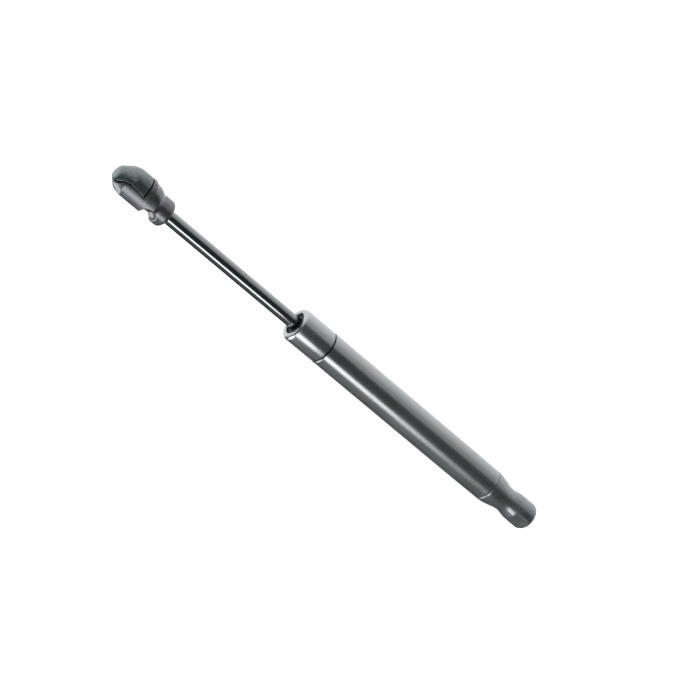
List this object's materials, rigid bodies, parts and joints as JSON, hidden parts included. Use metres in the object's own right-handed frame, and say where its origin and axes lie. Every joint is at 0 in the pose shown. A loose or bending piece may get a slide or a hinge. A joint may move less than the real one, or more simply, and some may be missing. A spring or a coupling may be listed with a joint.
{
  "type": "gas strut stay",
  "caption": "Compression gas strut with a chromed piston rod and a ball socket at each end, the rod socket closed by a sprung locking cap, for holding up a lid, flap or window.",
  "frame": {"origin": "centre of the ball in the tube end's socket", "axes": "+X along the strut from the tube end to the rod end, -Z out of the tube socket's mouth"},
  "size_m": [0.2444, 0.0154, 0.015],
  "materials": {
    "tube_steel": "semi-gloss dark grey lacquer",
    "rod_chrome": "ground and hard chromed",
    "socket_casting": "satin grey plated casting",
    "spring_steel": "bright spring steel",
    "plain_steel": "turned steel",
    "seal_rubber": "matte black nitrile rubber",
    "guide_plastic": "matte black moulded plastic"
  },
  "bodies": {
    "tube": {"pressure_tube": "tube_steel", "end_plug": "plain_steel", "end_plug_o_ring": "seal_rubber", "dust_wiper": "guide_plastic", "rod_seal": "seal_rubber", "seal_backup_ring": "guide_plastic", "rod_guide_bush": "guide_plastic", "guide_retaining_ring": "plain_steel", "tube_socket": "socket_casting", "tube_socket_snap_ring": "spring_steel"},
    "piston_ring": {"piston_ring": "guide_plastic"},
    "rod": {"piston_rod": "rod_chrome", "damping_disc": "plain_steel", "piston_body": "plain_steel", "piston_washer": "plain_steel", "rod_socket": "socket_casting", "rod_socket_snap_ring": "spring_steel", "cap_pin": "spring_steel"},
    "cap": {"locking_cap": "socket_casting"}
  },
  "joints": [
    {"name": "rod_slide", "type": "slide", "parent": "tube", "child": "piston_ring", "axis": [1, 0, 0], "range_m": [-0.068, 0], "stiffness_N_per_m": 200, "springref_m": 0.12},
    {"name": "rod_turn", "type": "hinge", "parent": "piston_ring", "child": "rod", "pos_m": [0, 0, 0], "axis": [1, 0, 0], "continuous": true},
    {"name": "cap_hinge", "type": "hinge", "parent": "rod", "child": "cap", "pos_m": [0.235, -0.00178, -0.00091], "axis": [0, -0.454, 0.891], "range_deg": [0, 7], "stiffness_Nm_per_rad": 0.08, "springref_deg": -5.73}
  ]
}
